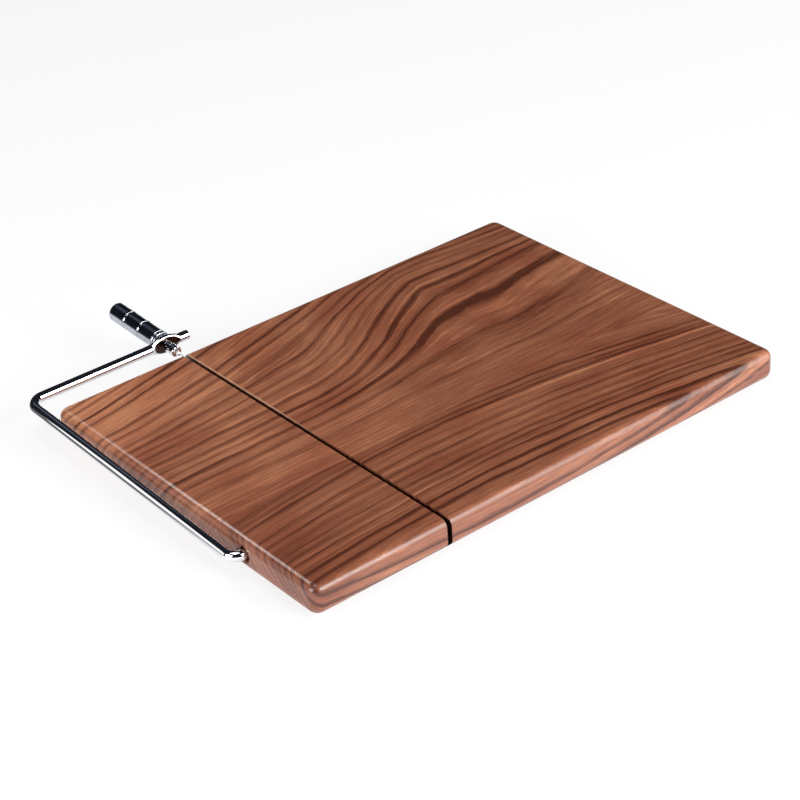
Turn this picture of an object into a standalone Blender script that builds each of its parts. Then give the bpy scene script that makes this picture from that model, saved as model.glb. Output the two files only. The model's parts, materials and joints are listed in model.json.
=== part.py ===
"""Cheese slicer board: a walnut board whose bright metal arm swings a cutting wire down into a slot.

Frame: the origin is the centre of the board's underside. +X runs along the grain, away from the end that the
arm turns in, +Y runs towards the side that the handle stands out from, and +Z is up. Everything is in metres.
The arm's own pieces are modelled in the arm's frame: its origin is on the pivot axis, local X is the pivot
axis, local Y points from the pivot along the wire, and local Z is square to the arm's plane.
"""

import math

import bmesh
import bpy
from mathutils import Matrix, Vector

MM = 0.001

# Board
BOARD_LENGTH = 345.0 * MM
BOARD_WIDTH = 251.0 * MM
BOARD_THICKNESS = 19.1 * MM
CORNER_RADIUS = 6.7 * MM
TOP_ROUND = 5.0 * MM
BOTTOM_ROUND = 6.0 * MM
LEAST_CORNER = 0.5 * MM
REST_INSET = 36.0 * MM
GLUE_LINE_Y = -39.5 * MM
SLOT_X = -81.5 * MM
SLOT_WIDTH = 3.0 * MM
SLOT_FLOOR = 2.3 * MM

# Pivot of the arm
PIVOT_Y = -62.7 * MM
PIVOT_Z = 9.9 * MM
ARM_TILT = math.radians(2.0)
BORE_RADIUS = 3.6 * MM
BORE_END_X = -70.0 * MM
MOUTH_RADIUS = 4.4 * MM
MOUTH_DEPTH = 4.0 * MM
MOUTH_CHAMFER = 1.2 * MM

# Arm rod
ROD_RADIUS = 3.175 * MM
NEAR_BEND_RADIUS = 6.8 * MM
FAR_BEND_RADIUS = 9.5 * MM
PIVOT_TIP_X = -72.5 * MM
BASE_X = -178.8 * MM
ARM_REACH = 208.6 * MM
WIRE_X = -81.1 * MM
STUB_TIP_X = -64.0 * MM
ROD_END_CHAMFER = 0.6 * MM
EYE_HALF_LENGTH = 10.0 * MM
EYE_HALF_HEIGHT = 6.0 * MM
EYE_HALF_THICKNESS = 1.6 * MM
EYE_HOLE_RADIUS = 3.8 * MM
EYE_FLAT_END = 0.7
EYE_ROUND_START = 1.1
EYE_REACH = 1.15

# Tension bolt, with its distances measured from the pivot axis
BOLT_END = 195.5 * MM
BOLT_HEAD_RADIUS = 3.5 * MM
BOLT_SHOULDER = 217.0 * MM
BOLT_THREAD_RADIUS = 2.3 * MM
BOLT_THREAD_END = 244.0 * MM
BOLT_SLOT_WIDTH = 1.3 * MM
BOLT_SLOT_DEPTH = 6.0 * MM
LOOP_PIN_PLACE = 198.8 * MM
LOOP_PIN_RADIUS = 0.7 * MM

# Handle and washer
HANDLE_START = 212.0 * MM
HANDLE_END = 263.0 * MM
HANDLE_RADIUS = 6.35 * MM
HANDLE_END_ROUND = 1.8 * MM
GROOVE_PLACES = (214.5 * MM, 230.3 * MM, 246.1 * MM)
GROOVE_WIDTH = 1.6 * MM
GROOVE_DEPTH = 0.7 * MM
HANDLE_COUNTERBORE_END = 224.0 * MM
HANDLE_BORE_END = 252.0 * MM
HANDLE_BORE_RADIUS = 2.7 * MM
WASHER_RADIUS = 5.3 * MM

# Wire
WIRE_RADIUS = 0.3 * MM
WIRE_HOLE_RADIUS = 0.6 * MM
FERRULE_RADIUS = 1.6 * MM
FERRULE_PLACE = 193.6 * MM
LOOP_START = math.radians(270.0)
LOOP_SWEEP = math.radians(288.0)
LOOP_STEPS = 20
BEAD_RADIUS = 0.65 * MM
BEAD_LENGTH = 1.6 * MM

# Feet and their screws
FOOT_INSET = 24.0 * MM
FOOT_TOP_RADIUS = 9.0 * MM
FOOT_BOTTOM_RADIUS = 8.0 * MM
FOOT_HEIGHT = 4.0 * MM
FOOT_FLANGE = 1.6 * MM
FOOT_RECESS_RADIUS = 3.6 * MM
SCREW_HEAD_RADIUS = 2.8 * MM
SCREW_HEAD_HEIGHT = 1.6 * MM
SCREW_SHANK_RADIUS = 1.4 * MM
SCREW_REACH = 8.0 * MM
PILOT_DEPTH = 9.0 * MM
RECESS_ARM = 1.7 * MM
RECESS_WIDTH = 0.6 * MM
RECESS_DEPTH = 0.9 * MM

# Fits and smoothness
GAP = 0.3 * MM
OVERCUT = 5.0 * MM
WELD = 0.001 * MM
ROUND_STEPS = 32
SMALL_STEPS = 16
ROUND_RING_COUNT = 6
BEND_STEPS = 10
EYE_STATIONS = 16
SHARP_ANGLE = math.radians(35.0)

# Turned pieces of the arm lie along the arm's local Y.
ALONG_WIRE = (-math.pi / 2, 0.0, 0.0)


def clear_scene():
    """Start from an empty file."""
    for old in list(bpy.data.objects):
        bpy.data.objects.remove(old, do_unlink=True)


def make_material(name, colour, roughness, metallic):
    """A plain Principled material."""
    made = bpy.data.materials.new(name)
    made.use_nodes = True
    shader = made.node_tree.nodes["Principled BSDF"]
    shader.inputs["Base Color"].default_value = (*colour, 1.0)
    shader.inputs["Roughness"].default_value = roughness
    shader.inputs["Metallic"].default_value = metallic
    made.diffuse_color = (*colour, 1.0)
    return made


def place(made, parent=None, at=(0.0, 0.0, 0.0), turn=(0.0, 0.0, 0.0)):
    """Link an object to the scene, under its parent, at a place and rotation in the parent's frame."""
    bpy.context.scene.collection.objects.link(made)
    made.parent = parent
    made.location = at
    made.rotation_euler = turn
    return made


def make_empty(name, parent=None, at=(0.0, 0.0, 0.0), turn=(0.0, 0.0, 0.0)):
    """An empty on a joint's axis, which the moving pieces hang from."""
    return place(bpy.data.objects.new(name, None), parent, at, turn)


def make_solid(name, bm, material, **where):
    """Turn a bmesh into a named, shaded object."""
    bmesh.ops.recalc_face_normals(bm, faces=bm.faces)
    mesh = bpy.data.meshes.new(name)
    bm.to_mesh(mesh)
    bm.free()
    mesh.materials.append(material)
    mesh.shade_smooth()
    mesh.set_sharp_from_angle(angle=SHARP_ANGLE)
    return place(bpy.data.objects.new(name, mesh), **where)


def skin_rings(bm, rings):
    """Join rings of equal point counts with quads and close both ends."""
    loops = [[bm.verts.new(point) for point in ring] for ring in rings]
    for low, high in zip(loops, loops[1:]):
        for i, vert in enumerate(low):
            after = (i + 1) % len(low)
            bm.faces.new((vert, low[after], high[after], high[i]))
    bm.faces.new(loops[0])
    bm.faces.new(loops[-1])


def turned_solid(profile, steps, closed=False):
    """(height, radius) points spun about local Z. A closed profile has a hole down its middle."""
    bm = bmesh.new()
    points = [bm.verts.new((radius, 0.0, height)) for height, radius in profile]
    pairs = list(zip(points, points[1:]))
    if closed:
        pairs.append((points[-1], points[0]))
    edges = [bm.edges.new(pair) for pair in pairs]
    bmesh.ops.spin(
        bm, geom=points + edges, axis=(0, 0, 1), cent=(0, 0, 0), angle=math.tau, steps=steps, use_merge=True
    )
    bmesh.ops.remove_doubles(bm, verts=bm.verts, dist=WELD)
    return bm


def cylinder_profile(start, end, radius):
    """The profile of a plain cylinder."""
    return [(start, 0.0), (start, radius), (end, radius), (end, 0.0)]


def box_solid(low, high):
    """A box between two corners."""
    bm = bmesh.new()
    size = Vector(high) - Vector(low)
    middle = (Vector(high) + Vector(low)) / 2
    matrix = Matrix.Translation(middle) @ Matrix.Diagonal((*size, 1.0))
    bmesh.ops.create_cube(bm, size=1.0, matrix=matrix)
    return bm


def make_cutter(name, bm, material, **where):
    """A solid that only shapes others."""
    cutter = make_solid(name, bm, material, **where)
    cutter.hide_render = True
    cutter.display_type = "WIRE"
    return cutter


def cut(target, cutter, operation="DIFFERENCE"):
    """Shape a solid with a cutter, exactly."""
    boolean = target.modifiers.new(cutter.name, "BOOLEAN")
    boolean.operation = operation
    boolean.solver = "EXACT"
    boolean.object = cutter


def quarter(start, steps):
    """Angles of a quarter turn from start."""
    return [start + math.pi / 2 * i / steps for i in range(steps + 1)]


def slab_outline(inset, height):
    """The board's plan outline, moved in by inset, as one ring of points."""
    ring = []
    radius = max(CORNER_RADIUS - inset, LEAST_CORNER)
    corner_x = BOARD_LENGTH / 2 - inset - radius
    corner_y = BOARD_WIDTH / 2 - inset - radius
    for turn, (side_x, side_y) in enumerate(((1, 1), (-1, 1), (-1, -1), (1, -1))):
        for angle in quarter(turn * math.pi / 2, ROUND_RING_COUNT):
            x = side_x * corner_x + radius * math.cos(angle)
            y = side_y * corner_y + radius * math.sin(angle)
            ring.append((x, y, height))
    return ring


def board_solid():
    """The whole board with both edges rounded over, before it is parted at the glue line."""
    rings = [slab_outline(REST_INSET, 0.0)]
    for angle in quarter(0.0, ROUND_RING_COUNT):
        inset = BOTTOM_ROUND * (1 - math.sin(angle))
        rings.append(slab_outline(inset, BOTTOM_ROUND * (1 - math.cos(angle))))
    for angle in quarter(0.0, ROUND_RING_COUNT):
        inset = TOP_ROUND * (1 - math.cos(angle))
        rings.append(slab_outline(inset, BOARD_THICKNESS - TOP_ROUND * (1 - math.sin(angle))))
    bm = bmesh.new()
    skin_rings(bm, rings)
    return bm


def foot_places():
    """Each foot's name ending and its place under the board."""
    reach_x = BOARD_LENGTH / 2 - FOOT_INSET
    reach_y = BOARD_WIDTH / 2 - FOOT_INSET
    return {
        f"{row}_{side}": (sign_x * reach_x, sign_y * reach_y, 0.0)
        for row, sign_y in (("front", -1), ("rear", 1))
        for side, sign_x in (("left", -1), ("right", 1))
    }


def make_board_cutters(material):
    """The slot, the pivot bore and the pilot holes of the foot screws."""
    slot = box_solid(
        (SLOT_X - SLOT_WIDTH / 2, -BOARD_WIDTH, SLOT_FLOOR),
        (SLOT_X + SLOT_WIDTH / 2, BOARD_WIDTH, BOARD_THICKNESS + OVERCUT),
    )
    depth = BORE_END_X + BOARD_LENGTH / 2
    rim = MOUTH_RADIUS + MOUTH_CHAMFER
    profile = [
        (-OVERCUT, 0.0),
        (-OVERCUT, rim),
        (0.0, rim),
        (MOUTH_CHAMFER, MOUTH_RADIUS),
        (MOUTH_DEPTH, MOUTH_RADIUS),
        (MOUTH_DEPTH, BORE_RADIUS),
        (depth, BORE_RADIUS),
        (depth, 0.0),
    ]
    bore = turned_solid(profile, ROUND_STEPS)
    bore_at = (-BOARD_LENGTH / 2, PIVOT_Y, PIVOT_Z)
    cutters = {
        "slot": make_cutter("cutter_slot", slot, material),
        "bore": make_cutter("cutter_bore", bore, material, at=bore_at, turn=(0.0, math.pi / 2, 0.0)),
    }
    radius = SCREW_SHANK_RADIUS + GAP
    for ending, spot in foot_places().items():
        pilot = turned_solid(cylinder_profile(-OVERCUT, PILOT_DEPTH, radius), SMALL_STEPS)
        cutters[ending] = make_cutter(f"cutter_pilot_{ending}", pilot, material, at=spot)
    return cutters


def make_staves(material):
    """The back and front staves, parted at the glue line, slotted and bored."""
    cutters = make_board_cutters(material)
    reach = BOARD_LENGTH
    spans = {
        "stave_back": (GLUE_LINE_Y + GAP / 2, reach, ("slot", "rear_left", "rear_right")),
        "stave_front": (-reach, GLUE_LINE_Y - GAP / 2, ("slot", "bore", "front_left", "front_right")),
    }
    for name, (low_y, high_y, cuts) in spans.items():
        stave = make_solid(name, board_solid(), material)
        span = box_solid((-reach, low_y, -OVERCUT), (reach, high_y, BOARD_THICKNESS + OVERCUT))
        cut(stave, make_cutter(f"cutter_span_{name}", span, material), "INTERSECT")
        for which in cuts:
            cut(stave, cutters[which])


def smooth_step(value, low, high):
    """0 below low, 1 above high, and a smooth rise between them."""
    share = min(max((value - low) / (high - low), 0.0), 1.0)
    return share * share * (3.0 - 2.0 * share)


def rod_section(centre, heading, half_thickness, half_height):
    """A ring of points round the rod: a circle, or flat sided where the rod is pressed into the eye."""
    across = Vector((-heading.y, heading.x, 0.0))
    straight = half_height - half_thickness
    ring = []
    for i in range(ROUND_STEPS):
        angle = math.tau * (i + 0.5) / ROUND_STEPS
        lift = math.copysign(straight, math.sin(angle))
        up = Vector((0.0, 0.0, lift + half_thickness * math.sin(angle)))
        ring.append(centre + across * half_thickness * math.cos(angle) + up)
    return ring


def bend_stations(middle, radius, start):
    """Centres and headings round a quarter bend about its middle, turning clockwise from the start angle."""
    stations = []
    for i in range(BEND_STEPS + 1):
        angle = start - math.pi / 2 * i / BEND_STEPS
        out = Vector((math.cos(angle), math.sin(angle), 0.0))
        stations.append((middle + radius * out, Vector((out.y, -out.x, 0.0))))
    return stations


def eye_section(share):
    """Half thickness and half height of the rod at a share of the eye's half length from its middle."""
    pressed = 1.0 - smooth_step(abs(share), EYE_FLAT_END, EYE_ROUND_START)
    bulge = max(1.0 - share * share, 0.0)
    half_thickness = ROD_RADIUS + (EYE_HALF_THICKNESS - ROD_RADIUS) * pressed
    half_height = ROD_RADIUS + (EYE_HALF_HEIGHT - ROD_RADIUS) * bulge
    return half_thickness, max(half_height, half_thickness)


def arm_solid():
    """The bent rod, from the tip in the board to the stub past the eye, in the arm's frame."""
    inward = Vector((-1.0, 0.0, 0.0))
    outward = Vector((1.0, 0.0, 0.0))
    small = ROD_RADIUS - ROD_END_CHAMFER
    rings = [
        rod_section(Vector((PIVOT_TIP_X, 0.0, 0.0)), inward, small, small),
        rod_section(Vector((PIVOT_TIP_X - ROD_END_CHAMFER, 0.0, 0.0)), inward, ROD_RADIUS, ROD_RADIUS),
    ]
    near_middle = Vector((BASE_X + NEAR_BEND_RADIUS, NEAR_BEND_RADIUS, 0.0))
    far_middle = Vector((BASE_X + FAR_BEND_RADIUS, ARM_REACH - FAR_BEND_RADIUS, 0.0))
    bends = bend_stations(near_middle, NEAR_BEND_RADIUS, 1.5 * math.pi)
    bends += bend_stations(far_middle, FAR_BEND_RADIUS, math.pi)
    for centre, heading in bends:
        rings.append(rod_section(centre, heading, ROD_RADIUS, ROD_RADIUS))
    for i in range(EYE_STATIONS + 1):
        share = EYE_REACH * (2.0 * i / EYE_STATIONS - 1.0)
        centre = Vector((WIRE_X + share * EYE_HALF_LENGTH, ARM_REACH, 0.0))
        rings.append(rod_section(centre, outward, *eye_section(share)))
    stub_edge = Vector((STUB_TIP_X - ROD_END_CHAMFER, ARM_REACH, 0.0))
    rings.append(rod_section(stub_edge, outward, ROD_RADIUS, ROD_RADIUS))
    rings.append(rod_section(Vector((STUB_TIP_X, ARM_REACH, 0.0)), outward, small, small))
    bm = bmesh.new()
    skin_rings(bm, rings)
    return bm


def rod_cutter(name, start, end, radius, steps, material, parent):
    """A round cutter along the wire's line, between two distances from the pivot."""
    bm = turned_solid(cylinder_profile(start, end, radius), steps)
    return make_cutter(name, bm, material, parent=parent, at=(WIRE_X, 0.0, 0.0), turn=ALONG_WIRE)


def make_arm(material, hinge):
    """The arm rod with its eye's hole and the cross hole for the wire in its pivot tip."""
    arm = make_solid("cutting_arm", arm_solid(), material, parent=hinge)
    eye_hole = (ARM_REACH - OVERCUT, ARM_REACH + OVERCUT, EYE_HOLE_RADIUS, ROUND_STEPS)
    wire_hole = (-OVERCUT, OVERCUT, WIRE_HOLE_RADIUS, SMALL_STEPS)
    cut(arm, rod_cutter("cutter_eye_hole", *eye_hole, material, hinge))
    cut(arm, rod_cutter("cutter_wire_hole", *wire_hole, material, hinge))


def make_bolt(material, slide):
    """The tension bolt: a round body through the eye, slotted at its end, and a thinner threaded tail."""
    edge = 0.5 * MM
    profile = [
        (BOLT_END, 0.0),
        (BOLT_END, BOLT_HEAD_RADIUS - edge),
        (BOLT_END + edge, BOLT_HEAD_RADIUS),
        (BOLT_SHOULDER, BOLT_HEAD_RADIUS),
        (BOLT_SHOULDER, BOLT_THREAD_RADIUS),
        (BOLT_THREAD_END - edge, BOLT_THREAD_RADIUS),
        (BOLT_THREAD_END, BOLT_THREAD_RADIUS - edge),
        (BOLT_THREAD_END, 0.0),
    ]
    bolt = make_solid(
        "tension_bolt", turned_solid(profile, ROUND_STEPS), material, parent=slide, turn=ALONG_WIRE
    )
    half = BOLT_SLOT_WIDTH / 2
    slot = box_solid((-half, BOLT_END - OVERCUT, -OVERCUT), (half, BOLT_END + BOLT_SLOT_DEPTH, OVERCUT))
    cut(bolt, make_cutter("cutter_bolt_slot", slot, material, parent=slide))
    pin_hole = turned_solid(cylinder_profile(-OVERCUT, OVERCUT, LOOP_PIN_RADIUS + GAP), SMALL_STEPS)
    cut(bolt, make_cutter("cutter_pin_hole", pin_hole, material, parent=slide, **across_bolt()))


def across_bolt():
    """The place and rotation of the loop pin, which lies along X through the bolt's slotted end."""
    return {"at": (0.0, LOOP_PIN_PLACE, 0.0), "turn": (0.0, math.pi / 2, 0.0)}


def make_loop_pin(material, slide):
    """The cross pin in the bolt's slot that the wire's loop hooks over."""
    half = BOLT_HEAD_RADIUS - GAP
    bm = turned_solid(cylinder_profile(-half, half, LOOP_PIN_RADIUS), SMALL_STEPS)
    make_solid("loop_pin", bm, material, parent=slide, **across_bolt())


def make_washer(material, hinge):
    """The washer that the handle bears on."""
    start = ARM_REACH + EYE_HALF_THICKNESS + GAP
    end = HANDLE_START - GAP
    profile = [(start, EYE_HOLE_RADIUS), (start, WASHER_RADIUS), (end, WASHER_RADIUS), (end, EYE_HOLE_RADIUS)]
    bm = turned_solid(profile, ROUND_STEPS, closed=True)
    make_solid("thrust_washer", bm, material, parent=hinge, at=(WIRE_X, 0.0, 0.0), turn=ALONG_WIRE)


def handle_outside():
    """The handle's outer profile: a grooved barrel with a rounded free end."""
    edge = 0.4 * MM
    profile = [(HANDLE_START, HANDLE_RADIUS - edge), (HANDLE_START + edge, HANDLE_RADIUS)]
    for groove in GROOVE_PLACES:
        for share, depth in ((-1.0, 0.0), (-0.45, 0.8), (0.0, 1.0), (0.45, 0.8), (1.0, 0.0)):
            profile.append((groove + share * GROOVE_WIDTH / 2, HANDLE_RADIUS - depth * GROOVE_DEPTH))
    centre = HANDLE_END - HANDLE_END_ROUND
    for angle in quarter(0.0, 5):
        height = centre + HANDLE_END_ROUND * math.sin(angle)
        profile.append((height, HANDLE_RADIUS - HANDLE_END_ROUND * (1 - math.cos(angle))))
    profile.append((HANDLE_END, 0.0))
    return profile


def make_handle(material, turn_axis):
    """The handle barrel, counterbored for the bolt's body and bored for its thread."""
    inside = [
        (HANDLE_BORE_END, 0.0),
        (HANDLE_BORE_END, HANDLE_BORE_RADIUS),
        (HANDLE_COUNTERBORE_END, HANDLE_BORE_RADIUS),
        (HANDLE_COUNTERBORE_END, EYE_HOLE_RADIUS),
        (HANDLE_START, EYE_HOLE_RADIUS),
    ]
    bm = turned_solid(inside + handle_outside(), ROUND_STEPS)
    make_solid("handle_barrel", bm, material, parent=turn_axis, turn=ALONG_WIRE)


def wire_route():
    """The wire's centreline in the bolt's frame: straight from the bead, then a loop round the pin."""
    loop_radius = LOOP_PIN_RADIUS + GAP + WIRE_RADIUS
    points = [Vector((0.0, -ROD_RADIUS - GAP / 2, 0.0)), Vector((0.0, BOLT_END + GAP, 0.0))]
    centre = Vector((0.0, LOOP_PIN_PLACE, 0.0))
    for i in range(LOOP_STEPS + 1):
        angle = LOOP_START - LOOP_SWEEP * i / LOOP_STEPS
        points.append(centre + loop_radius * Vector((0.0, math.cos(angle), math.sin(angle))))
    return points


def make_wire(material, slide):
    """The cutting wire, as a curve with a round section."""
    curve = bpy.data.curves.new("cutting_wire", "CURVE")
    curve.dimensions = "3D"
    curve.bevel_depth = WIRE_RADIUS
    curve.bevel_resolution = 2
    curve.use_fill_caps = True
    route = wire_route()
    line = curve.splines.new("POLY")
    line.points.add(len(route) - 1)
    for point, spot in zip(line.points, route):
        point.co = (*spot, 1.0)
    curve.materials.append(material)
    place(bpy.data.objects.new("cutting_wire", curve), parent=slide)


def make_ferrule(material, slide):
    """The ball crimped on the wire at the bolt's end, with the wire through its middle."""
    hole = WIRE_RADIUS + GAP
    rise = math.acos(hole / FERRULE_RADIUS)
    profile = []
    steps = 10
    for i in range(steps + 1):
        angle = -rise + 2.0 * rise * i / steps
        profile.append((FERRULE_PLACE + FERRULE_RADIUS * math.sin(angle), FERRULE_RADIUS * math.cos(angle)))
    bm = turned_solid(profile, SMALL_STEPS, closed=True)
    make_solid("wire_ferrule", bm, material, parent=slide, turn=ALONG_WIRE)


def make_bead(material, slide):
    """The stop on the wire's end, just past the pivot tip's cross hole."""
    edge = 0.25 * MM
    top = -ROD_RADIUS - GAP / 2 - GAP
    bottom = top - BEAD_LENGTH
    profile = [
        (bottom, 0.0),
        (bottom, BEAD_RADIUS - edge),
        (bottom + edge, BEAD_RADIUS),
        (top - edge, BEAD_RADIUS),
        (top, BEAD_RADIUS - edge),
        (top, 0.0),
    ]
    make_solid("wire_end_bead", turned_solid(profile, SMALL_STEPS), material, parent=slide, turn=ALONG_WIRE)


def make_foot(ending, spot, material):
    """A rubber foot with a recess that hides the screw's head."""
    top = -GAP
    bottom = top - FOOT_HEIGHT
    edge = 0.8 * MM
    hole = SCREW_SHANK_RADIUS + GAP
    ceiling = top - FOOT_FLANGE
    profile = [
        (top, hole),
        (top, FOOT_TOP_RADIUS),
        (bottom + edge, FOOT_BOTTOM_RADIUS + edge / 2),
        (bottom, FOOT_BOTTOM_RADIUS - edge / 2),
        (bottom, FOOT_RECESS_RADIUS),
        (ceiling, FOOT_RECESS_RADIUS),
        (ceiling, hole),
    ]
    make_solid(f"foot_{ending}", turned_solid(profile, ROUND_STEPS, closed=True), material, at=spot)


def make_screw(ending, spot, material):
    """A pan head wood screw with a cross recess, pointing up into the board."""
    head_top = -GAP - FOOT_FLANGE - GAP
    head_bottom = head_top - SCREW_HEAD_HEIGHT
    edge = 0.6 * MM
    point = 2.5 * MM
    profile = [
        (head_bottom, 0.0),
        (head_bottom, SCREW_HEAD_RADIUS - edge),
        (head_bottom + edge, SCREW_HEAD_RADIUS),
        (head_top, SCREW_HEAD_RADIUS),
        (head_top, SCREW_SHANK_RADIUS),
        (SCREW_REACH - point, SCREW_SHANK_RADIUS),
        (SCREW_REACH, 0.0),
    ]
    name = f"foot_screw_{ending}"
    screw = make_solid(name, turned_solid(profile, SMALL_STEPS), material, at=spot)
    low = (-RECESS_ARM, -RECESS_WIDTH / 2, head_bottom - OVERCUT)
    high = (RECESS_ARM, RECESS_WIDTH / 2, head_bottom + RECESS_DEPTH)
    for turn, angle in enumerate((0.0, math.pi / 2)):
        blade = box_solid(low, high)
        cut(screw, make_cutter(f"cutter_{name}_{turn}", blade, material, at=spot, turn=(0.0, 0.0, angle)))


def build():
    """The whole slicer."""
    clear_scene()
    walnut = make_material("walnut", (0.30, 0.13, 0.07), 0.35, 0.0)
    chrome = make_material("chrome", (0.80, 0.80, 0.82), 0.08, 1.0)
    steel = make_material("stainless_steel", (0.62, 0.62, 0.63), 0.25, 1.0)
    nylon = make_material("black_nylon", (0.02, 0.02, 0.022), 0.45, 0.0)
    rubber = make_material("black_rubber", (0.025, 0.025, 0.025), 0.8, 0.0)
    make_staves(walnut)
    for ending, spot in foot_places().items():
        make_foot(ending, spot, rubber)
        make_screw(ending, spot, steel)
    hinge = make_empty("arm_swing_axis", at=(0.0, PIVOT_Y, PIVOT_Z), turn=(ARM_TILT, 0.0, 0.0))
    slide = make_empty("bolt_slide_axis", parent=hinge, at=(WIRE_X, 0.0, 0.0))
    turn_axis = make_empty("handle_turn_axis", parent=hinge, at=(WIRE_X, 0.0, 0.0))
    make_arm(chrome, hinge)
    make_washer(nylon, hinge)
    make_handle(chrome, turn_axis)
    make_bolt(chrome, slide)
    make_loop_pin(steel, slide)
    make_wire(steel, slide)
    make_ferrule(steel, slide)
    make_bead(steel, slide)


build()
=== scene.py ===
"""The looks of the cheese slicer: an oiled walnut board, a chromed arm, its handle and a steel wire.

Lengths are in millimetres times MM, in the frame's axes. The arm's pieces are made in the arm's own frame,
whose origin is on the pivot axis. Its X is the pivot axis, and its Y points from the pivot along the wire.
"""

import json
import math

import bmesh
import bpy
from mathutils import Matrix, Quaternion, Vector


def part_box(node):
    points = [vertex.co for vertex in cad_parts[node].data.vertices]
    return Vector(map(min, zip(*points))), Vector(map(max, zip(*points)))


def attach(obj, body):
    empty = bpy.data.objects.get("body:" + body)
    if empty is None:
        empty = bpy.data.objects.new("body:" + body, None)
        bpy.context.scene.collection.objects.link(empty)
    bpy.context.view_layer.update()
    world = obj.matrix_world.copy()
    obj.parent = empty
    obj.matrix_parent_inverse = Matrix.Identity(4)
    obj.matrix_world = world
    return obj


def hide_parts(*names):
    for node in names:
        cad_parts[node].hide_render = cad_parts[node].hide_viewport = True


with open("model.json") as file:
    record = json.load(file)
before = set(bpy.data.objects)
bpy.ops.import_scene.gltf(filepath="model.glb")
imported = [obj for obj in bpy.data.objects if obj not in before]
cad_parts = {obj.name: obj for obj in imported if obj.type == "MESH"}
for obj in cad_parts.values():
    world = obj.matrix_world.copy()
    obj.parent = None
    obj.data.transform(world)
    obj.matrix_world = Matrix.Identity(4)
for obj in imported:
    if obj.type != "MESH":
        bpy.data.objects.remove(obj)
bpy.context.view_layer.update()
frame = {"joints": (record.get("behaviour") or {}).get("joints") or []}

MM = 0.001

# The camera
CAMERA_PLACE = Vector((-671.6, -867.6, 667.8)) * MM
CAMERA_TARGET = Vector((-3.0, 13.5, 0.0)) * MM
CAMERA_ROLL = math.radians(4.07)
CAMERA_LENS = 97.25

# The board, from the frame
BACK_LOW, BACK_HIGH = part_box("stave_back")
FRONT_LOW, FRONT_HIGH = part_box("stave_front")
BOARD_LENGTH = BACK_HIGH.x - BACK_LOW.x
BOARD_WIDTH = BACK_HIGH.y - FRONT_LOW.y
BOARD_THICKNESS = BACK_HIGH.z
GLUE_LINE_Y = (BACK_LOW.y + FRONT_HIGH.y) / 2
GLUE_FILM = 0.01 * MM
CORNER_RADIUS = 6.7 * MM
TOP_ROUND = 5.0 * MM
BOTTOM_ROUND = 6.0 * MM
LEAST_CORNER = 0.5 * MM
SLOT_X = -81.5 * MM
SLOT_WIDTH = 3.0 * MM
SLOT_FLOOR = 2.3 * MM
SLOT_EASE = 0.35 * MM
BORE_RADIUS = 3.45 * MM
BORE_LENGTH = 102.5 * MM
MOUTH_RADIUS = 4.4 * MM
MOUTH_DEPTH = 4.0 * MM
MOUTH_CHAMFER = 1.2 * MM

# The arm
JOINTS = {joint["name"]: joint for joint in frame["joints"]}
PIVOT = Vector(JOINTS["arm_swing"]["pos_m"])
WIRE_AXIS = Vector(JOINTS["handle_turn"]["axis"])
WIRE_X = JOINTS["handle_turn"]["pos_m"][0]
ARM_TILT = math.atan2(WIRE_AXIS.z, WIRE_AXIS.y)
ARM_REACH = (Vector(JOINTS["handle_turn"]["pos_m"]) - PIVOT).dot(WIRE_AXIS)
ROD_RADIUS = 3.175 * MM
BASE_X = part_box("cutting_arm")[0].x + ROD_RADIUS
NEAR_BEND_RADIUS = 6.8 * MM
FAR_BEND_RADIUS = 9.5 * MM
PIVOT_TIP_X = -72.5 * MM
STUB_TIP_X = -64.0 * MM
ROD_END_ROUND = 0.7 * MM
EYE_HALF_LENGTH = 10.0 * MM
EYE_HALF_HEIGHT = 6.0 * MM
EYE_HALF_THICKNESS = 1.6 * MM
EYE_HOLE_RADIUS = 3.75 * MM
EYE_HOLE_EASE = 0.4 * MM
EYE_FLAT_END = 0.7
EYE_ROUND_START = 1.1
EYE_REACH = 1.15

# Pieces on the wire's line, by their distance from the pivot
BOLT_END = 195.5 * MM
BOLT_RADIUS = 3.5 * MM
BOLT_SHOULDER = 217.0 * MM
BOLT_THREAD_RADIUS = 2.3 * MM
BOLT_THREAD_END = 244.0 * MM
THREAD_PITCH = 0.8 * MM
THREAD_DEPTH = 0.35 * MM
BOLT_SLOT_WIDTH = 1.2 * MM
BOLT_SLOT_DEPTH = 6.0 * MM
BOLT_EDGE = 0.5 * MM
PIN_PLACE = 198.8 * MM
PIN_RADIUS = 0.75 * MM
PIN_INSET = 0.3 * MM
HANDLE_START = 212.0 * MM
HANDLE_END = 263.0 * MM
HANDLE_RADIUS = 6.35 * MM
HANDLE_START_ROUND = 0.5 * MM
HANDLE_END_ROUND = 1.8 * MM
GROOVE_PLACES = (214.5 * MM, 230.3 * MM, 246.1 * MM)
GROOVE_WIDTH = 1.5 * MM
GROOVE_DEPTH = 0.60 * MM
GROOVE_LIP = 0.15 * MM
GROOVE_STEPS = 8
COUNTERBORE_END = 224.0 * MM
HANDLE_BORE_END = 252.0 * MM
HANDLE_BORE_RADIUS = 2.65 * MM
WASHER_RADIUS = 5.3 * MM
WASHER_GAP = 0.03 * MM
FERRULE_PLACE = 193.6 * MM
FERRULE_RADIUS = 1.6 * MM
WIRE_RADIUS = 0.25 * MM
WIRE_HOLE_RADIUS = 0.6 * MM
WIRE_PAST_ROD = 0.2 * MM
LOOP_GAP = 0.05 * MM
LOOP_TURN = 300.0
LOOP_STEPS = 32
BEAD_PAST_ROD = 0.15 * MM
BEAD_LENGTH = 1.9 * MM
BEAD_RADIUS = 0.65 * MM
BEAD_ROUND = 0.25 * MM

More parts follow.
